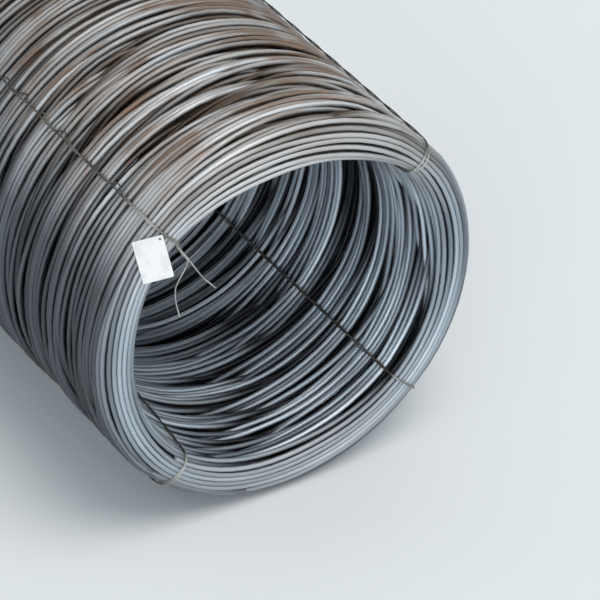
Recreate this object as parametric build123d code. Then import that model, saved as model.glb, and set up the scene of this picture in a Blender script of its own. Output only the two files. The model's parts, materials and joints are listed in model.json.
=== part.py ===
from build123d import *
import os
from math import cos, radians, sin

# A coil of hot-rolled wire rod, lying on its side: many loops of round rod packed into a ring-shaped wall,
# four wire ties round the wall, and a blank tag on one of them.
# The origin is the middle of the bore. The coil's axis is Y, its near end is at -Y, and +Z is up.
# A place round the coil is an angle from +X towards +Z.

# The coil
COIL_LENGTH = 1600.0
COIL_DIA = 1200.0
WALL = 140.0                # from the bore to the outside
OUTER_SHOULDER = 48.0       # radius of the rounded edge between an end and the outside, if the wall allows
INNER_SHOULDER = 26.0       # radius of the rounded edge between an end and the bore
TURN_WIDTH = 26.0           # from valley to valley over an end, where one turn shows; others lie deeper
TURN_RELIEF = 5.0           # how far a turn stands out of the valleys beside it
BAND_SHARES = (9, 11, 10, 9, 8, 11, 8, 9)   # of the outside's length, band by band from the near end
BAND_GAP = 44.0             # width of the gap between two bands, where the turns lie deeper
BAND_GAP_DEPTH = 26.0

# The ties
TIE_DIA = 6.0
TIE_SIDES = 6               # the round wire is drawn with so many flats
TIE_PROUD = 1.5             # how far a tie stands out of the outside and the bore, which it bites into
TAG_TIE_ANGLE = 133.5       # the tie that holds the tag
PLAIN_TIE_ANGLES = {"tie_upper_right": 41.5, "tie_lower_right": -46.0, "tie_lower_left": -134.5}
SEAT_GAP = 0.3              # clearance between a piece and its seat
KNOT_RADIUS = 4.5           # from the knot's axis to the bends of each strand
QUARTER_LENGTH = 6.0        # along the knot for each quarter turn
KNOT_QUARTERS = 6           # quarter turns of each strand
KNOT_END_LENGTH = 4.0       # straight wire at least so long between the knot and a rounded edge
TAIL_START_LENGTH = 9.0     # from the knot to where a strand's free end turns aside
TAIL_LENGTH = 24.0          # the free end from there to its tip

# The tag
TAG_WIDTH = 85.0
TAG_HEIGHT = 115.0
TAG_THICKNESS = 1.5
TAG_CORNER = 4.0
TAG_HOLE_DIA = 7.0
TAG_HOLE_INSET = 10.0       # from the hole's middle to the two edges beside it
TAG_ANGLE = 141.0           # where the tag bears on the outer shoulder
TAG_LEAN = 45.0             # from the end's face round the shoulder
TAG_TURN = 138.0            # the tag's top edge, turned in its own plane
TAG_SHIFT = (-4.5, 25.3)    # the tag's middle from where it bears: round the coil, and towards the bore

HALF = COIL_LENGTH / 2
OUTER_R = COIL_DIA / 2
BORE_R = OUTER_R - WALL
TIE_R = TIE_DIA / 2
TIE_INSET = TIE_R - TIE_PROUD
CHANNEL_INSET = TIE_INSET + TIE_R + SEAT_GAP
TIE_LEVEL = HALF + 2 * SEAT_GAP + TIE_R     # a tie's own line over the turns of an end, from the middle
KNOT_LENGTH = QUARTER_LENGTH * KNOT_QUARTERS
SHOULDER = min(OUTER_SHOULDER, WALL - INNER_SHOULDER - KNOT_LENGTH - 2 * KNOT_END_LENGTH)
KNOT_MIDDLE = (BORE_R + INNER_SHOULDER + OUTER_R - SHOULDER) / 2


def round_the_coil(angle):
    """Turns a piece drawn in the XY plane, where X is the distance from the axis, to its place."""
    return Rot(0, -angle, 0)


def end_line():
    """The near end's smooth outline in the section, from the bore over the end to the outside."""
    inner = CenterArc((BORE_R + INNER_SHOULDER, INNER_SHOULDER - HALF), INNER_SHOULDER, 180, 90)
    outer = CenterArc((OUTER_R - SHOULDER, SHOULDER - HALF), SHOULDER, 270, 90)
    return Wire([inner, Line(inner @ 1, outer @ 0), outer])


def turned_end():
    """The near end's corners in the section, from the bore outwards: turns' tops and the valleys between."""
    line = end_line()
    count = round(line.length / TURN_WIDTH)
    pitch = line.length / count

    def spot(distance, sunk=0):
        tangent = line.tangent_at(distance, PositionMode.LENGTH)
        return line.position_at(distance, PositionMode.LENGTH) + Vector(-tangent.Y, tangent.X) * sunk

    valleys = [spot(pitch * turn, TURN_RELIEF) for turn in range(1, count)]
    crests = [spot(pitch * (turn + 0.5)) for turn in range(count)]
    between = [corner for pair in zip(crests, valleys) for corner in pair]
    return [line @ 0, *between, crests[-1], line @ 1]


def band_gaps():
    """The outside's corners in the section: a V-shaped gap between each two bands of turns."""
    length = COIL_LENGTH - 2 * SHOULDER
    corners = []
    for band in range(1, len(BAND_SHARES)):
        middle = length * (sum(BAND_SHARES[:band]) / sum(BAND_SHARES) - 0.5)
        corners += [(OUTER_R, middle - BAND_GAP / 2), (OUTER_R - BAND_GAP_DEPTH, middle),
                    (OUTER_R, middle + BAND_GAP / 2)]
    return corners


def tie_channel():
    """The groove that one tie bites into the outside and the bore. It runs out on the rounded edges."""
    inner, outer, end = BORE_R + CHANNEL_INSET, OUTER_R - CHANNEL_INSET, HALF + SEAT_GAP
    corners = [(inner, -end), (inner, end), (outer, end), (outer, -end)]
    radii = [INNER_SHOULDER - TIE_R - SEAT_GAP] * 2 + [SHOULDER - TIE_R - SEAT_GAP] * 2
    core = make_face(FilletPolyline(*corners, radius=radii, close=True))
    around = Rectangle(WALL + 2 * SHOULDER, COIL_LENGTH + 2 * SHOULDER)
    ring = Pos((OUTER_R + BORE_R) / 2, 0) * around - core
    return extrude(ring, amount=TIE_R + SEAT_GAP, both=True)


def rod_coil():
    """The packed winding as one turned solid, with its bore, its turns, its bands and the ties' channels."""
    near = turned_end()
    far = [(corner.X, -corner.Y) for corner in reversed(near)]
    section = make_face(Polyline(*near, *band_gaps(), *far, close=True))
    coil = revolve(section, axis=Axis.Y)
    for angle in [TAG_TIE_ANGLE, *PLAIN_TIE_ANGLES.values()]:
        coil -= round_the_coil(angle) * tie_channel()
    return coil


def knot_strand(end, way):
    """One strand's bends, from where it meets the other one to its tail's tip.

    end is -1 for the near end of the coil and 1 for the far one. way is -1 for the strand that runs
    towards the bore, and 1 for the one that runs outwards.
    """
    start = KNOT_MIDDLE - way * KNOT_LENGTH / 2
    points = []
    for quarter in range(KNOT_QUARTERS + 1):
        turn = radians(90 * quarter)
        level = TIE_LEVEL + KNOT_RADIUS * (1 - cos(turn))
        points.append((start + way * QUARTER_LENGTH * quarter, end * level, way * KNOT_RADIUS * sin(turn)))
    turned_aside = start + way * (KNOT_LENGTH + TAIL_START_LENGTH)
    points.append((turned_aside, end * level, 0))
    points.append((turned_aside, end * level, way * TAIL_LENGTH))
    return points


def tie(end):
    """One tie: a wire round the wall's section, its two ends twisted together at one end of the coil."""
    inward = knot_strand(end, -1)
    outward = knot_strand(end, 1)
    inner, outer, level = BORE_R + TIE_INSET, OUTER_R - TIE_INSET, end * TIE_LEVEL
    loop = [(outer, level, 0), (outer, -level, 0), (inner, -level, 0), (inner, level, 0)]
    kinks = [0] * (len(inward) - 1)
    corners = [SHOULDER] * 2 + [INNER_SHOULDER] * 2
    path = FilletPolyline(*reversed(inward), *loop, *outward, radius=kinks + corners + kinks)
    section = Plane(path @ 0, z_dir=path % 0) * RegularPolygon(TIE_R, TIE_SIDES)
    return sweep(section, path=path, transition=Transition.RIGHT)


def tag_plane():
    """The plane of the tag's middle layer, which touches the outer shoulder but for the seat's gap."""
    angle, lean = radians(TAG_ANGLE), radians(TAG_LEAN)
    out = Vector(cos(angle) * sin(lean), -cos(lean), sin(angle) * sin(lean))
    ring_r = OUTER_R - SHOULDER
    middle = Vector(ring_r * cos(angle), SHOULDER - HALF, ring_r * sin(angle))
    origin = middle + out * (SHOULDER + SEAT_GAP + TAG_THICKNESS / 2)
    return Plane(origin, x_dir=(-sin(angle), 0, cos(angle)), z_dir=out)


def tag_place():
    """The tag's own frame: X along its top edge, Y up the tag, Z out of its face."""
    return tag_plane().location * Pos(*TAG_SHIFT) * Rot(0, 0, TAG_TURN)


def tag_hole():
    """The middle of the tag's hole, in the tag's own frame."""
    return Pos(TAG_WIDTH / 2 - TAG_HOLE_INSET, TAG_HEIGHT / 2 - TAG_HOLE_INSET)


def tag():
    """The bare plate, with its rounded corners and its hole."""
    outline = RectangleRounded(TAG_WIDTH, TAG_HEIGHT, TAG_CORNER)
    outline -= tag_hole() * Circle(TAG_HOLE_DIA / 2)
    return tag_place() * extrude(outline, amount=TAG_THICKNESS / 2, both=True)


def main():
    os.makedirs("parts", exist_ok=True)
    export_step(rod_coil(), "parts/rod_coil.step")
    export_step(round_the_coil(TAG_TIE_ANGLE) * tie(-1), "parts/tie_upper_left.step")
    for name, angle in PLAIN_TIE_ANGLES.items():
        export_step(round_the_coil(angle) * tie(1), f"parts/{name}.step")
    export_step(tag(), "parts/tag.step")


main()
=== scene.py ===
import json
from math import atan2, cos, pi, radians, sin, tau

import bmesh
import bpy
import numpy as np
from mathutils import Matrix, Vector, geometry


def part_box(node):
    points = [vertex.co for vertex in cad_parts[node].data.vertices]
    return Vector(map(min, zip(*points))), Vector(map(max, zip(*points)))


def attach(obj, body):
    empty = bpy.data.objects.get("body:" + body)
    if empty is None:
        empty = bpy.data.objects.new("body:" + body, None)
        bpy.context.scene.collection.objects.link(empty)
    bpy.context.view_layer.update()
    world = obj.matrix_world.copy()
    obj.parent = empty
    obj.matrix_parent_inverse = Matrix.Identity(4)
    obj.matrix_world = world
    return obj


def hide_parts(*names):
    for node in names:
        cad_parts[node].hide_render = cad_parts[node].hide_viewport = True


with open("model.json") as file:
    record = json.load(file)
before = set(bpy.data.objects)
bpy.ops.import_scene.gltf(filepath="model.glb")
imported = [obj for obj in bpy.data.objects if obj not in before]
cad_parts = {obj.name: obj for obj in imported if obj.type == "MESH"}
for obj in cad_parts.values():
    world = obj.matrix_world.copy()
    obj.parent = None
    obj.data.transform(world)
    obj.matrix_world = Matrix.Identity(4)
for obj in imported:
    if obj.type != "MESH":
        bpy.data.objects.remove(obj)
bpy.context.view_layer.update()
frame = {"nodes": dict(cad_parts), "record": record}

# A coil of hot-rolled wire rod. Lengths are in metres. The coil's axis is Y, its near end is at -Y, and a
# place round it is an angle from +X towards +Z.
coil_low, coil_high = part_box("rod_coil")

# The wall
HALF = coil_high.y                  # from the middle to an end
OUTER_R = coil_high.x
BORE_R = frame["record"]["mounts"][0]["dims"]["r_mm"] / 1000
OUTER_SHOULDER = 0.055
INNER_SHOULDER = 0.030
BAND_SHARES = (9, 11, 10, 9, 8, 11, 8, 9)       # of the outside's length, band by band from the near end
BAND_GAP = 0.044                    # width of the gap between two bands, where the turns lie deeper
BAND_GAP_DEPTH = 0.026
BAND_ENDS = 0.048                   # from an end to where the bands start
LIP_DEPTH = 0.22                    # how far into the bore an end's uneven lip fades out
FAR_LIP = 0.35                      # how uneven the far end's lip is, as a share of the near one
LIP_BLUR = 2                        # stations each way over which its radius is smoothed
LIP_RADII = {                       # the bore's own radius at the lip, by the angle round the coil
    -175: 0.494, -150: 0.490, -134: 0.490, -120: 0.482, -86: 0.458, -46: 0.486, 0: 0.466,
    41: 0.512, 60: 0.478, 95: 0.461, 104: 0.466, 116: 0.487, 130: 0.508, 140: 0.521, 155: 0.507, 170: 0.495,
}

# The rod
ROD_R = 0.007
ROD_BEVEL = 1                       # six sides
TURNS = 500
STATIONS = 72                       # points in each turn
PIECES = 8                          # lengths that the rod's mesh is kept in
ROW_MARGIN = 0.04                   # of a turn's row in the UV map, left free above and below
FIRST_ANGLE = radians(-138)         # where the rod's near end lies
SEED = 7
BUNDLE_SIZES = (3, 5)               # turns in a bundle
BUNDLE_SPACING = (1.0, 1.12)        # between its turns, in rods
LEVELS = (0, 1, 2.5, 4, 5)          # how deep a bundle lies, in rods
OUTER_SHARES = (0.60, 0.15, 0.08, 0.08, 0.09)   # of the bundles, at each of these levels below the outside
INNER_SHARES = (0.58, 0.14, 0.10, 0.09, 0.09)   # the same, below the bore's wall
END_TURNS = 7                       # turns side by side on an end, in each of two layers
END_WANDER = 0.006                  # how far such a turn lies off the middle, this way and that
CLINGING = 1.5                      # how long a turn keeps to the side that it lies towards
SPREAD = np.array([0.6711, 0.8192, 0.5497])     # steps that spread side, outer and inner level evenly
SIDE_SCATTER = 0.3                  # in radians, how far the side that a bundle lies towards is off
PLACE_SCATTER = 0.004               # how far a bundle's place along the coil is off
RADIUS_SCATTER = 0.0015             # how far a turn's own radius is off
SHIFT_SCATTER = 0.002               # how far a turn's middle is off, this way and that
END_ROOM = 3 * 2 * ROD_R            # from an end to the middle of the nearest bundle
LARGEST_TILT = 0.030
SETTLING_STEPS = 140
SETTLING_PUSH = 0.9
BENDING_REACH = 10                  # stations each way over which a push bends the rod
NEIGHBOURS = 12                     # rods beside each one that it may touch

# Painted shade on the rod: deep between the turns, low on the outside's left and towards the far end
GAP_SHADE_DEPTH = 0.026                  # below the surface, where the painted shade is full
BORE_GAP_SHADE_DEPTH = 0.017             # below the bore's wall
PAINTED_SHADE = 0.88                        # share of painted shadow low on the outside's left
PAINTED_SHADE_LAYER = (0.06, 0.03)          # below the outside: where the painted shade ends, and where it is full
PAINTED_SHADE_ENDS = (0.01, 0.05)           # the same, from the coil's ends
PAINTED_SHADE_HEIGHTS = (0.70, 0.25)        # the same, as the sine of the angle round the coil
PAINTED_SHADE_SIDES = (0.60, -0.40)         # the same, as its cosine
FAR_PAINTED_SHADE = 0.40                    # share of painted shade towards the far end
FAR_PAINTED_SHADE_PLACES = (-0.20, 0.20)    # along the coil: where that starts, and where it is full

# The ties: each is a wire that goes round the wall twice, its laps twisted loosely and its two ends tightly.
# A place in a tie's own frame is the distance from the axis, the place along it, and the distance aside.
TIE_ANGLES = {
    "tie_upper_left": 133.5, "tie_upper_right": 41.5, "tie_lower_right": -46.0, "tie_lower_left": -134.5,
}
TIE_BITES = (0.005, 0.010, 0.005, 0.005)        # how deep each tie pulls the wall in
TIE_BITE_WIDTH = radians(4)
WIRE_R = 0.002
WIRE_BEVEL = 2                      # eight sides
WIRE_STEP = 0.006                   # between points of the wire
PAIR_R = 0.0022                     # from the middle of the pair of laps to each one
PAIR_LAY = 0.21                     # along the pair for one turn of its laps
TWIST_R = 0.0024                    # from the middle of the twisted ends to each one
TWIST_LAY = 0.018
TWIST_STEPS = 12                    # points for one turn of the twist
SLACK_SPOTS = 16                    # places where the laps of a tie part a little
SLACK_SIZE = 0.005
SLACK_REACH = 0.05                  # from the middle of such a place to where the laps meet again
KNOWN_SLACK = {                     # wider ones: distance from the axis, place along it, how far, reach
    "tie_upper_left": ((0.60, -0.565, -0.018, 0.04), (0.60, -0.27, -0.017, 0.035),
                       (0.60, -0.165, -0.015, 0.03), (0.60, -0.05, -0.016, 0.035),
                       (0.60, 0.045, -0.015, 0.035)),
    "tie_upper_right": ((0.56, -0.80, -0.007, 0.06),),
    "tie_lower_right": ((0.54, -0.80, 0.006, 0.06),),
    "tie_lower_left": ((0.53, -0.80, 0.011, 0.08),),
}
FAR_KNOT = (                        # the twist, and the two free ends after it
    ((0.541, 0.806, 0), (0.544, 0.810, 0), (0.538, 0.8135, 0), (0.520, 0.8135, 0), (0.502, 0.8135, 0)),
    ((0.496, 0.8130, 0.004), (0.493, 0.8120, 0.012), (0.492, 0.8105, 0.028)),
    ((0.496, 0.8130, -0.004), (0.492, 0.8120, -0.012), (0.491, 0.8105, -0.024)),
)
LIP_KNOT = (                        # the same at the near lip, where the free ends hang in the bore
    ((0.509, -0.785, 0.008), (0.494, -0.790, 0.013), (0.478, -0.794, 0.018), (0.459, -0.800, 0.021)),
    ((0.449, -0.800, 0.022), (0.407, -0.800, 0.033), (0.389, -0.800, 0.038), (0.363, -0.800, 0.042),
     (0.336, -0.800, 0.047), (0.308, -0.800, 0.047)),
    ((0.452, -0.800, 0.027), (0.442, -0.800, 0.051), (0.436, -0.800, 0.087), (0.430, -0.800, 0.105),
     (0.412, -0.800, 0.123), (0.390, -0.800, 0.140), (0.366, -0.800, 0.156), (0.348, -0.800, 0.165)),
)

# The camera
CAMERA_PLACE = Vector((-4.630, -8.245, 6.480))
CAMERA_BACK = Vector((-0.4272, -0.6842, 0.5910))
CAMERA_LENS = 240.0
CAMERA_SENSOR = 36.0

# The colours
DARK_SCALE = (0.14, 0.162, 0.19)
MIDDLE_SCALE = (0.43, 0.49, 0.545)
PALE_SCALE = (0.70, 0.77, 0.84)
END_SHADE = (0.31, 0.355, 0.39)     # painted shade: the near end is toned down towards this bluish grey
LOW_END_SHADE = (0.36, 0.34, 0.32)  # and towards this warmer grey at its lowest part
END_SHADE_SHARE = 0.4                     # how far the painted shade tones it down
DUST = (0.46, 0.39, 0.325)
DUST_SHARE = 0.6
RUST = (0.18, 0.115, 0.072)
FRESH_RUST = (0.28, 0.135, 0.068)
RUBBED_STEEL = (0.70, 0.695, 0.69)
RUBBED_SHARE = 0.5
PAINTED_GAP_SHADE = (0.022, 0.024, 0.030)        # painted shade between the turns
PAINTED_GAP_SHADE_TOP = (0.060, 0.042, 0.028)    # painted shade between the turns of the rusty top, rust-brown
DARK_WIRE = ((0.045, 0.038, 0.032), (0.13, 0.12, 0.10))
PALE_WIRE = ((0.22, 0.21, 0.19), (0.50, 0.49, 0.46))
TAG_WHITES = ((0.67, 0.66, 0.645), (0.86, 0.835, 0.815))
FLOOR_COLOUR = (0.92, 0.915, 0.91)
FLOOR_REACH = 30.0

# Where one colour goes over to the next: places along the coil, heights and places across it
RUBBED_PLACES = (-0.62, -0.76)
NEAR_END_PLACES = (-0.75, -0.785)
LOW_END_HEIGHTS = (-0.20, -0.50)
RUSTY_HEIGHTS = (0.15, 0.50)
PAINTED_GAP_SHADE_TOP_HEIGHTS = (0.30, 0.55)
HANDLED_PLACES = (-0.60, -0.74)     # of the upper left tie's wire, which is paler there
HANDLED_HEIGHTS = (0.10, 0.30)
HANDLED_SIDES = (0.0, -0.20)
WIRE_END_PLACES = (-0.775, -0.80)   # of all the ties' wires

# The light: for each lamp, the way towards it, its spread in degrees, its strength and its colour
SKY_COLOUR = (0.80, 0.92, 1.0)
SKY_STRENGTH = 0.62
LAMPS = {
    "top": ((0.10, -0.34, 0.93), 35, 1.02, (1.0, 0.96, 0.91)),
    "front": ((-0.70, -0.67, 0.22), 35, 0.92, (0.86, 0.94, 1.0)),
}


def make_camera():
    data = bpy.data.cameras.new("camera")
    data.lens = CAMERA_LENS
    data.sensor_width = CAMERA_SENSOR
    data.clip_start = 0.1
    data.clip_end = 100
    camera = bpy.data.objects.new("camera", data)
    bpy.context.scene.collection.objects.link(camera)
    camera.location = CAMERA_PLACE
    camera.rotation_mode = "QUATERNION"
    camera.rotation_quaternion = CAMERA_BACK.to_track_quat("Z", "Y")
    bpy.context.scene.camera = camera


def round_blur(values, width):
    """Values round the coil, smoothed over so many stations each way."""
    return sum(np.roll(values, i) for i in range(-width, width + 1)) / (2 * width + 1)


BAND_GAPS = (np.cumsum(BAND_SHARES[:-1]) / sum(BAND_SHARES) * 2 - 1) * (HALF - BAND_ENDS)
STATION_ANGLES = FIRST_ANGLE + tau * np.arange(STATIONS) / STATIONS
lip_angles = np.array(list(LIP_RADII))
lip_values = np.array(list(LIP_RADII.values()))
LIP = round_blur(np.interp(np.degrees(STATION_ANGLES), lip_angles, lip_values, period=360), LIP_BLUR)
tie_offsets = STATION_ANGLES[:, None] - np.radians(list(TIE_ANGLES.values()))
tie_offsets = (tie_offsets + pi) % tau - pi
BITE = (TIE_BITES * np.exp(-(tie_offsets / TIE_BITE_WIDTH) ** 2)).sum(1)


def bore_radius(y):
    """The bore's radius along the coil, which goes over to the lip's at both ends."""
    uneven = np.where(y < 0, 1, FAR_LIP) * (LIP - BORE_R)
    return BORE_R + uneven * np.exp((np.abs(y) - HALF) / LIP_DEPTH)


def fade(values, none, full):
    """From 0 where the values reach one limit to 1 where they reach the other."""
    return np.clip((values - none) / (full - none), 0, 1)


def hold_in_wall(r, y):
    """Brings the rod's own line back into the wall's section, which has rounded edges."""
    end = HALF - ROD_R
    y = np.clip(y, -end, end)
    inner = bore_radius(y) + ROD_R + BITE
    gap = np.min(np.abs(y[..., None] - BAND_GAPS), -1)
    outer = OUTER_R - ROD_R - BITE - BAND_GAP_DEPTH * np.clip(1 - gap / (BAND_GAP / 2), 0, 1)
    r = np.clip(r, inner, outer)
    for limit, way, shoulder in ((outer, 1, OUTER_SHOULDER - ROD_R), (inner, -1, INNER_SHOULDER - ROD_R)):
        across = (r - limit) * way + shoulder
        along = np.abs(y) - (end - shoulder)
        reach = np.hypot(across, along)
        over = (across > 0) & (along > 0) & (reach > shoulder)
        back = np.where(over, shoulder / np.maximum(reach, 1e-9), 1)
        r = np.where(over, limit + (across * back - shoulder) * way, r)
        y = np.where(over, np.sign(y) * (end - shoulder + along * back), y)
    return r, y


def soften(values):
    """Takes the sharpest bends out of the rod's line."""
    line = values.ravel().copy()
    line[1:-1] = line[1:-1] * 0.5 + (line[2:] + line[:-2]) * 0.25
    return line.reshape(values.shape)


def settle(r, y):
    """Pushes the turns apart until they lie beside and on each other, bending the rod gently."""
    kernel = np.bartlett(2 * BENDING_REACH + 3)[1:-1]
    kernel = kernel / kernel.sum()
    for _ in range(SETTLING_STEPS):
        order = np.argsort(y, axis=0)
        sorted_r = np.take_along_axis(r, order, 0)
        sorted_y = np.take_along_axis(y, order, 0)
        moved_r = np.zeros_like(r)
        moved_y = np.zeros_like(y)
        for beside in range(1, NEIGHBOURS + 1):
            gap_r = sorted_r[beside:] - sorted_r[:-beside]
            gap_y = sorted_y[beside:] - sorted_y[:-beside]
            gap = np.hypot(gap_r, gap_y) + 1e-6
            push = SETTLING_PUSH * np.clip(2 * ROD_R - gap, 0, None) / gap
            moved_r[beside:] += push * gap_r
            moved_r[:-beside] -= push * gap_r
            moved_y[beside:] += push * gap_y
            moved_y[:-beside] -= push * gap_y
        for values, moved in ((r, moved_r), (y, moved_y)):
            unsorted = np.zeros_like(values)
            np.put_along_axis(unsorted, order, moved, 0)
            values += np.convolve(unsorted.ravel(), kernel, "same").reshape(values.shape)
        r, y = hold_in_wall(r, y)
    return soften(r), soften(y)


def end_layers():
    """The turns that lie flat on an end: out and back in again, side by side. Their mean radii and depths."""
    radii = BORE_R + (np.arange(END_TURNS) + 0.5) / END_TURNS * (OUTER_R - BORE_R)
    depths = np.zeros(END_TURNS)
    return np.concatenate([radii, radii[::-1]]), np.concatenate([depths, depths + 2 * ROD_R])


def bundles(rng, turns):
    """Each turn's mean radius, its shift to a side, its place along the coil and its tilt, bundle by bundle.

    The turns of one bundle lie side by side, and the next bundle lies towards another side of the wall.
    """
    radius, shift, place, tilt = (np.zeros(turns, complex) for _ in range(4))
    levels = 2 * ROD_R * np.array(LEVELS)
    first, number = 0, 0
    while first < turns:
        last = min(first + rng.integers(BUNDLE_SIZES[0], BUNDLE_SIZES[1] + 1), turns)
        count = last - first
        side, outer_share, inner_share = number * SPREAD % 1
        outside = OUTER_R - ROD_R - levels[np.searchsorted(np.cumsum(OUTER_SHARES), outer_share)]
        inside = BORE_R + ROD_R + levels[np.searchsorted(np.cumsum(INNER_SHARES), inner_share)]
        side = tau * side + rng.normal(0, SIDE_SCATTER)
        radius[first:last] = (outside + inside) / 2
        shift[first:last] = (outside - inside) / 2 * np.exp(1j * side)
        middle = ((first + last) / 2 / turns * 2 - 1) * (HALF - END_ROOM) + rng.normal(0, PLACE_SCATTER)
        spacing = 2 * ROD_R * rng.uniform(*BUNDLE_SPACING)
        place[first:last] = middle + (np.arange(count) - (count - 1) / 2) * spacing
        room = max(HALF - END_ROOM - abs(middle), 0)
        tilt[first:last] = min(rng.uniform(0, LARGEST_TILT), room) * np.exp(1j * rng.uniform(0, tau))
        first, number = last, number + 1
    radius += rng.normal(0, RADIUS_SCATTER, turns)
    shift += rng.normal(0, SHIFT_SCATTER, turns) + 1j * rng.normal(0, SHIFT_SCATTER, turns)
    return radius, shift, place, tilt


def wind():
    """The rod's own line: its distance from the axis and its place along it, by turn and station."""
    rng = np.random.default_rng(SEED)
    end_radii, end_depths = end_layers()
    loose = bundles(rng, TURNS + 1 - 2 * len(end_radii))
    end_shift = rng.normal(0, END_WANDER, len(end_radii)) + 1j * rng.normal(0, END_WANDER, len(end_radii))
    near = (end_radii, end_shift, -HALF + ROD_R + end_depths, 0 * end_radii)
    far = (end_radii[::-1], end_shift[::-1], HALF - ROD_R - end_depths[::-1], 0 * end_radii)
    radius, shift, place, tilt = (np.concatenate(parts) for parts in zip(near, loose, far))
    turn = np.arange(TURNS * STATIONS) / STATIONS
    number = turn.astype(int)
    steady = turn - number
    gentle = steady * steady * (3 - 2 * steady)

    def to_next_turn(values, share):
        """Values on the way from each turn's own to the next one's."""
        return values[number] * (1 - share) + values[number + 1] * share

    radius, shift, tilt = (to_next_turn(values, gentle) for values in (radius, shift, tilt))
    place = to_next_turn(place, steady)
    away = np.exp(-1j * (FIRST_ANGLE + tau * turn))
    size = np.abs(shift) + 1e-6
    r = radius.real + size * np.tanh(CLINGING * (shift * away).real / size) / np.tanh(CLINGING)
    y = (place + tilt * away).real
    r, y = r.reshape(TURNS, STATIONS), y.reshape(TURNS, STATIONS)
    r = OUTER_R - (OUTER_R - r) * (OUTER_R - bore_radius(y)) / (OUTER_R - BORE_R)
    return settle(*hold_in_wall(r, y))


def tube(name, points, radius=0.0, bevel=0, kind="POLY", fineness=1):
    """A round wire along a line of points, as a mesh. Without a radius it is the smoothed line itself."""
    curve = bpy.data.curves.new(name, "CURVE")
    curve.dimensions = "3D"
    curve.bevel_depth = radius
    curve.bevel_resolution = bevel
    curve.use_fill_caps = True
    curve.resolution_u = fineness
    spline = curve.splines.new(kind)
    spline.points.add(len(points) - 1)
    spline.points.foreach_set("co", np.hstack([points, np.ones((len(points), 1))]).ravel())
    spline.order_u = 4
    spline.use_endpoint_u = True
    carrier = bpy.data.objects.new(name, curve)
    mesh = bpy.data.meshes.new_from_object(carrier)
    bpy.data.objects.remove(carrier)
    bpy.data.curves.remove(curve)
    mesh.shade_smooth()
    return mesh


def through(points):
    """A smooth line led by a few points."""
    mesh = tube("line", points, kind="NURBS", fineness=12)
    line = np.array([vertex.co for vertex in mesh.vertices])
    bpy.data.meshes.remove(mesh)
    return line


def add_piece(name, mesh, material, slot, *nodes):
    mesh.name = name
    mesh.materials.clear()
    mesh.materials.append(material)
    piece = bpy.data.objects.new(name, mesh)
    bpy.context.scene.collection.objects.link(piece)
    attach(piece, "root")
    if nodes:
        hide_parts(*nodes)
    return piece


def lay_turns_in_rows(mesh, first_turn, stations, sides):
    """Gives a length of the rod its UV map, with a row for each turn, and each point its turn's number."""
    corner_count = len(mesh.loops)
    corner_point = np.empty(corner_count, int)
    mesh.loops.foreach_get("vertex_index", corner_point)
    starts = np.empty(len(mesh.polygons), int)
    sizes = np.empty(len(mesh.polygons), int)
    mesh.polygons.foreach_get("loop_start", starts)
    mesh.polygons.foreach_get("loop_total", sizes)
    face_of_corner = np.repeat(np.arange(len(starts)), sizes)
    station = corner_point // sides
    side = corner_point % sides
    lowest = np.minimum.reduceat(station, starts)
    row = (lowest // STATIONS)[face_of_corner]
    along = (station - row * STATIONS) / STATIONS
    wraps = (np.minimum.reduceat(side, starts) == 0) & (np.maximum.reduceat(side, starts) == sides - 1)
    side = np.where(wraps[face_of_corner] & (side == 0), sides, side)
    rows = (stations - 1) // STATIONS + 1
    around = (row + ROW_MARGIN + (1 - 2 * ROW_MARGIN) * side / sides) / rows
    uv = mesh.uv_layers.new(name="OFBake")
    uv.data.foreach_set("uv", np.stack([along, around], 1).astype(np.float32).ravel())
    turn = mesh.attributes.new("turn", "FLOAT", "POINT")
    numbers = first_turn + (np.arange(len(mesh.vertices)) // sides) / STATIONS
    turn.data.foreach_set("value", numbers.astype(np.float32))


def painted_shade_share(r, y, angle):
    """How much painted shade a point of the rod gets, from 0 to 1: deep between the turns, low on the
    outside's left and towards the far end.
    """
    deep = (np.minimum(OUTER_R - r, HALF - np.abs(y)) - ROD_R) / GAP_SHADE_DEPTH
    deep = np.clip(np.minimum(deep, (r - bore_radius(y) - ROD_R) / BORE_GAP_SHADE_DEPTH), 0, 1)
    # Painted shadow low on the outside's left, and painted shade towards the far end.
    outside = fade(OUTER_R - r, *PAINTED_SHADE_LAYER) * fade(HALF - np.abs(y), *PAINTED_SHADE_ENDS)
    low = PAINTED_SHADE * outside * fade(np.sin(angle), *PAINTED_SHADE_HEIGHTS) * fade(np.cos(angle), *PAINTED_SHADE_SIDES)
    far = FAR_PAINTED_SHADE * outside * fade(y, *FAR_PAINTED_SHADE_PLACES)
    return 1 - (1 - deep) * (1 - low) * (1 - far)


def rod_pieces(r, y, material):
    """The rod in lengths of so many turns, which together replace the turned solid."""
    angle = FIRST_ANGLE + tau * np.arange(TURNS * STATIONS) / STATIONS
    painted_shade_amount = painted_shade_share(r, y, angle.reshape(r.shape)).ravel()
    r, y = r.ravel(), y.ravel()
    points = np.stack([r * np.cos(angle), y, r * np.sin(angle)], 1)
    sides = 4 + 2 * ROD_BEVEL
    cuts = np.linspace(0, TURNS, PIECES + 1).astype(int)
    for number in range(PIECES):
        first, last = cuts[number] * STATIONS, cuts[number + 1] * STATIONS
        length = points[first:last + 1]
        mesh = tube("rod", length, ROD_R, ROD_BEVEL)
        while mesh.uv_layers:
            mesh.uv_layers.remove(mesh.uv_layers[0])
        lay_turns_in_rows(mesh, cuts[number], len(length), sides)
        # Each point carries its share of painted shade.
        shade = mesh.attributes.new("painted_shade_amount", "FLOAT", "POINT")
        station = np.minimum(first + np.arange(len(mesh.vertices)) // sides, len(painted_shade_amount) - 1)
        shade.data.foreach_set("value", painted_shade_amount[station].astype(np.float32))
        add_piece(f"rod_turns_{number + 1}", mesh, material, "hot_rolled_rod", "rod_coil")


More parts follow.
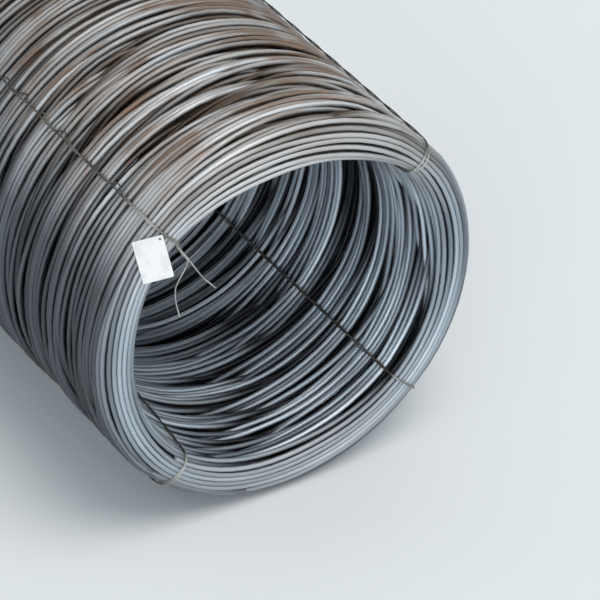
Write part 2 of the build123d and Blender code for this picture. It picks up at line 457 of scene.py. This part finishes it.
def section_at(r, y, angle):
    """Where the rod's line crosses the wall's section at an angle, turn by turn, as (r, y)."""
    place = ((angle - FIRST_ANGLE) / tau) % 1 * STATIONS
    before = int(place)
    share = place - before
    flat_r, flat_y = r.ravel(), y.ravel()
    index = np.arange(TURNS) * STATIONS + before
    after = np.minimum(index + 1, TURNS * STATIONS - 1)
    return np.stack([flat_r[index] * (1 - share) + flat_r[after] * share,
                     flat_y[index] * (1 - share) + flat_y[after] * share], 1)


def taut_loop(section, distance, arc_points=4):
    """The line of a wire pulled tight round the rods of a section, at a distance from their own lines."""
    order = geometry.convex_hull_2d([Vector(p) for p in section])
    hull = [Vector(section[i]) for i in order]
    line = []
    for i, corner in enumerate(hull):
        before = corner - hull[i - 1]
        after = hull[(i + 1) % len(hull)] - corner
        turn = atan2(before.x * after.y - before.y * after.x, before.dot(after))
        out = Vector((before.y, -before.x)).normalized()
        steps = max(1, round(arc_points * abs(turn)))
        for step in range(steps + 1):
            line.append(corner + Matrix.Rotation(turn * step / steps, 2) @ out * distance)
    return np.array(line)


def in_steps(line, step):
    """Points at even steps along a line, both ends included, and their distances along it."""
    lengths = np.linalg.norm(np.diff(line, axis=0), axis=1)
    along = np.concatenate([[0], np.cumsum(lengths)])
    at = np.linspace(0, along[-1], round(along[-1] / step) + 1)
    return np.stack([np.interp(at, along, line[:, i]) for i in range(line.shape[1])], 1), at


def laps(section, start, known, rng):
    """The wire's two laps round a section, from the place nearest to a start, in the tie's own frame."""
    loop = taut_loop(section, ROD_R + WIRE_R + PAIR_R)
    line, at = in_steps(np.vstack([loop, loop[:1]]), WIRE_STEP)
    line = np.roll(line[:-1], -np.argmin(np.linalg.norm(line[:-1] - start, axis=1)), 0)
    ahead = np.roll(line, -1, 0) - np.roll(line, 1, 0)
    out = np.stack([ahead[:, 1], -ahead[:, 0]], 1)
    out /= np.linalg.norm(out, axis=1)[:, None]
    spots = [(*line[rng.integers(len(line))], rng.normal(0, SLACK_SIZE), SLACK_REACH)
             for _ in range(SLACK_SPOTS)]
    slack = np.zeros(len(line))
    for r, y, size, reach in (*known, *spots):
        near = np.clip(1 - np.hypot(*(line - (r, y)).T) / reach, 0, 1)
        slack += size * near * near * (3 - 2 * near)
    points = []
    turns = round(at[-1] / PAIR_LAY) + 0.5      # the half turn puts the second lap across from the first
    for lap in range(2):
        phase = tau * turns * (lap + np.arange(len(line)) / len(line))
        lifted = line + out * PAIR_R * np.cos(phase)[:, None]
        points.append(np.column_stack([lifted, PAIR_R * np.sin(phase) + slack * lap]))
    return np.vstack(points)


def twisted_ends(twist):
    """The wire's two ends where they are twisted round each other along a line."""
    line, at = in_steps(through(np.array(twist, float)), TWIST_LAY / TWIST_STEPS)
    ahead = np.gradient(line, axis=0)
    across = np.cross(ahead, (0, 0, 1))
    across /= np.linalg.norm(across, axis=1)[:, None]
    up = np.cross(ahead, across)
    up /= np.linalg.norm(up, axis=1)[:, None]
    phase = (tau * at / TWIST_LAY)[:, None]
    away = TWIST_R * (across * np.cos(phase) + up * np.sin(phase))
    return line + away, line - away


def tie_pieces(r, y, material):
    """A wire for each tie, from one end's tip through the twist and round the wall to the other tip."""
    rng = np.random.default_rng(SEED)
    for name, degrees in TIE_ANGLES.items():
        angle = radians(degrees)
        twist, *tails = LIP_KNOT if name == "tie_upper_left" else FAR_KNOT
        first, second = twisted_ends(twist)
        round_wall = laps(section_at(r, y, angle), twist[0][:2], KNOWN_SLACK[name], rng)
        wire = np.vstack([tails[0][::-1], first[::-1], round_wall, second, tails[1]])
        distance, place, aside = wire.T
        wire = np.column_stack([distance * cos(angle) - aside * sin(angle), place,
                                distance * sin(angle) + aside * cos(angle)])
        mesh = tube(name, wire, WIRE_R, WIRE_BEVEL, kind="NURBS")
        add_piece(name + "_wire", mesh, material, "tie_wire", name)


def nodes_of(material):
    material.use_nodes = True
    tree = material.node_tree
    return tree, tree.nodes["Principled BSDF"]


def node(tree, kind, **values):
    made = tree.nodes.new(kind)
    for key, value in values.items():
        setattr(made, key, value)
    return made


def read(tree, name):
    """A value that the piece's own points carry."""
    return node(tree, "ShaderNodeAttribute", attribute_name=name).outputs["Fac"]


def object_place(tree):
    return node(tree, "ShaderNodeTexCoord").outputs["Object"]


def noise(tree, scale, detail, along=None, place=None):
    """A noise, along one value or over a place."""
    made = node(tree, "ShaderNodeTexNoise", noise_dimensions="1D" if along else "3D")
    made.inputs["Scale"].default_value = scale
    made.inputs["Detail"].default_value = detail
    tree.links.new(along or place, made.inputs["W" if along else "Vector"])
    return made.outputs["Fac"]


def ramp(tree, share, *stops):
    """Colours by a share, from stops of a place from 0 to 1 and a colour."""
    made = node(tree, "ShaderNodeValToRGB")
    elements = made.color_ramp.elements
    while len(elements) < len(stops):
        elements.new(0.5)
    for element, (place, colour) in zip(elements, stops):
        element.position = place
        element.color = (*colour, 1)
    tree.links.new(share, made.inputs["Fac"])
    return made.outputs["Color"]


def grey(value):
    return (value, value, value)


def mix(tree, share, first, second, blend="MIX"):
    """The second colour over the first one by a share. Each of the three is a socket or a plain value."""
    made = node(tree, "ShaderNodeMix", data_type="RGBA", blend_type=blend)
    for socket, value in (("Factor", share), ("A", first), ("B", second)):
        if isinstance(value, bpy.types.NodeSocket):
            tree.links.new(value, made.inputs[socket])
        elif socket == "Factor":
            made.inputs[socket].default_value = value
        else:
            made.inputs[socket].default_value = (*value, 1)
    return made.outputs["Result"]


def bump(tree, shader, height, strength, distance):
    made = node(tree, "ShaderNodeBump")
    made.inputs["Strength"].default_value = strength
    made.inputs["Distance"].default_value = distance
    tree.links.new(height, made.inputs["Height"])
    tree.links.new(made.outputs["Normal"], shader.inputs["Normal"])


def rise(tree, axis, start, end):
    """From 0 at one place along an axis to 1 at another."""
    split = node(tree, "ShaderNodeSeparateXYZ")
    tree.links.new(object_place(tree), split.inputs["Vector"])
    share = node(tree, "ShaderNodeMapRange", clamp=True)
    share.inputs["From Min"].default_value = start
    share.inputs["From Max"].default_value = end
    tree.links.new(split.outputs[axis], share.inputs["Value"])
    return share.outputs["Result"]


def streaks(tree, scale, detail, along=0.12):
    """A noise drawn out along the rod."""
    stretch = node(tree, "ShaderNodeMapping")
    stretch.inputs["Scale"].default_value = (along, 1, along)
    tree.links.new(object_place(tree), stretch.inputs["Vector"])
    return noise(tree, scale, detail, place=stretch.outputs["Vector"])


def rod_steel():
    """Mill scale. Each turn has its own tone and the top has rust and dust. Painted shade tones down the near
    end and darkens what lies deep, low on the outside's left and towards the far end.
    """
    material = bpy.data.materials.new("mill_scale")
    tree, shader = nodes_of(material)
    place = object_place(tree)
    turn = read(tree, "turn")
    tone = ramp(tree, noise(tree, scale=2.3, detail=3, along=turn),
                (0.30, DARK_SCALE), (0.50, MIDDLE_SCALE), (0.68, PALE_SCALE))

    dusty = ramp(tree, streaks(tree, scale=30.0, detail=4), (0.35, grey(0.5)), (0.62, grey(1)))
    dust = mix(tree, dusty, tone, mix(tree, DUST_SHARE, tone, DUST))
    fine = ramp(tree, streaks(tree, scale=40.0, detail=5, along=0.05), (0.46, grey(0)), (0.56, grey(0.85)))
    broad = ramp(tree, streaks(tree, scale=11.0, detail=5, along=0.18), (0.48, grey(0)), (0.57, grey(0.8)))
    by_turn = ramp(tree, noise(tree, scale=5.0, detail=1, along=turn), (0.44, grey(0.05)), (0.60, grey(1)))
    broad = mix(tree, 1.0, broad, by_turn, "MULTIPLY")
    patches = ramp(tree, noise(tree, scale=4.5, detail=2, place=place), (0.37, grey(0)), (0.50, grey(1)))
    rusty = mix(tree, 1.0, mix(tree, 1.0, fine, broad, "LIGHTEN"), patches, "MULTIPLY")
    rust_colour = ramp(tree, noise(tree, scale=16.0, detail=3, place=place), (0.56, RUST), (0.70, FRESH_RUST))
    rust = mix(tree, rusty, dust, rust_colour)
    rubbed = mix(tree, rise(tree, "Y", *RUBBED_PLACES), rust, mix(tree, RUBBED_SHARE, rust, RUBBED_STEEL))

    # Painted shade: the near end is toned down towards a bluish grey, warmer at its lowest part.
    end_shade_tone = mix(tree, rise(tree, "Z", *LOW_END_HEIGHTS), END_SHADE, LOW_END_SHADE)
    near_end_shaded = mix(tree, rise(tree, "Y", *NEAR_END_PLACES), tone, mix(tree, END_SHADE_SHARE, tone, end_shade_tone))
    weathered_and_end_shade = mix(tree, rise(tree, "Z", *RUSTY_HEIGHTS), near_end_shaded, rubbed)
    # Painted shade between the turns and deep in the wall, rust-brown on the top.
    deep = mix(tree, rise(tree, "Z", *PAINTED_GAP_SHADE_TOP_HEIGHTS), PAINTED_GAP_SHADE, PAINTED_GAP_SHADE_TOP)
    colour = mix(tree, read(tree, "painted_shade_amount"), weathered_and_end_shade, deep)
    tree.links.new(colour, shader.inputs["Base Color"])

    rough = ramp(tree, noise(tree, scale=40.0, detail=3, place=place), (0.3, grey(0.38)), (0.7, grey(0.58)))
    tree.links.new(rough, shader.inputs["Roughness"])
    shader.inputs["Metallic"].default_value = 0.5
    bump(tree, shader, noise(tree, scale=350.0, detail=3, place=place), strength=0.25, distance=0.0006)
    return material


def tie_steel():
    """Annealed wire, dark and brown, and rubbed paler over the near end and along the tag's tie."""
    material = bpy.data.materials.new("annealed_wire")
    tree, shader = nodes_of(material)
    place = object_place(tree)
    dark = ramp(tree, noise(tree, scale=9.0, detail=3, place=place),
                (0.38, DARK_WIRE[0]), (0.62, DARK_WIRE[1]))
    pale = ramp(tree, noise(tree, scale=14.0, detail=3, place=place),
                (0.35, PALE_WIRE[0]), (0.60, PALE_WIRE[1]))
    upper_left = mix(tree, 1.0, rise(tree, "Z", *HANDLED_HEIGHTS),
                     rise(tree, "X", *HANDLED_SIDES), "MULTIPLY")
    handled = mix(tree, 1.0, upper_left, rise(tree, "Y", *HANDLED_PLACES), "MULTIPLY")
    rubbed = mix(tree, 1.0, handled, rise(tree, "Y", *WIRE_END_PLACES), "LIGHTEN")
    tree.links.new(mix(tree, rubbed, dark, pale), shader.inputs["Base Color"])
    shader.inputs["Metallic"].default_value = 0.4
    shader.inputs["Roughness"].default_value = 0.5
    bump(tree, shader, noise(tree, scale=500.0, detail=2, place=place), strength=0.3, distance=0.0004)
    return material


def tag_white():
    """A bare white plate, a little dusty."""
    material = bpy.data.materials.new("bare_tag")
    tree, shader = nodes_of(material)
    place = object_place(tree)
    colour = ramp(tree, noise(tree, scale=28.0, detail=5, place=place),
                  (0.30, TAG_WHITES[0]), (0.52, TAG_WHITES[1]))
    tree.links.new(colour, shader.inputs["Base Color"])
    shader.inputs["Roughness"].default_value = 0.55
    bump(tree, shader, noise(tree, scale=60.0, detail=3, place=place), strength=0.15, distance=0.001)
    return material


def make_floor():
    bm = bmesh.new()
    bmesh.ops.create_grid(bm, x_segments=1, y_segments=1, size=FLOOR_REACH)
    bmesh.ops.translate(bm, verts=bm.verts, vec=(0, 0, coil_low.z))
    mesh = bpy.data.meshes.new("floor")
    bm.to_mesh(mesh)
    bm.free()
    material = bpy.data.materials.new("pale_floor")
    tree, shader = nodes_of(material)
    shader.inputs["Base Color"].default_value = (*FLOOR_COLOUR, 1)
    shader.inputs["Roughness"].default_value = 0.9
    mesh.materials.append(material)
    floor = bpy.data.objects.new("floor", mesh)
    bpy.context.scene.collection.objects.link(floor)


def make_world():
    """A pale sky. The camera and reflections see it white."""
    world = bpy.data.worlds.new("studio")
    bpy.context.scene.world = world
    world.use_nodes = True
    tree = world.node_tree
    background = tree.nodes["Background"]
    paths = node(tree, "ShaderNodeLightPath")
    seen = paths.outputs["Is Camera Ray"]
    for way in ("Is Glossy Ray", "Is Transmission Ray"):
        either = node(tree, "ShaderNodeMath", operation="MAXIMUM")
        tree.links.new(seen, either.inputs[0])
        tree.links.new(paths.outputs[way], either.inputs[1])
        seen = either.outputs[0]
    tree.links.new(mix(tree, seen, SKY_COLOUR, grey(1)), background.inputs["Color"])
    strength = node(tree, "ShaderNodeMapRange")
    strength.inputs["To Min"].default_value = SKY_STRENGTH
    strength.inputs["To Max"].default_value = 1
    tree.links.new(seen, strength.inputs["Value"])
    tree.links.new(strength.outputs["Result"], background.inputs["Strength"])


def make_lamps():
    for name, (way, spread, strength, colour) in LAMPS.items():
        data = bpy.data.lights.new(name, "SUN")
        data.angle = radians(spread)
        data.energy = strength
        data.color = colour
        lamp = bpy.data.objects.new(name, data)
        bpy.context.scene.collection.objects.link(lamp)
        lamp.rotation_mode = "QUATERNION"
        lamp.rotation_quaternion = Vector(way).to_track_quat("Z", "Y")


bpy.context.scene.view_settings.view_transform = "Standard"
make_camera()
rod_r, rod_y = wind()
rod_pieces(rod_r, rod_y, rod_steel())
tie_pieces(rod_r, rod_y, tie_steel())
tag = frame["nodes"]["tag"]
tag.data.materials.clear()
tag.data.materials.append(tag_white())
make_floor()
make_world()
make_lamps()
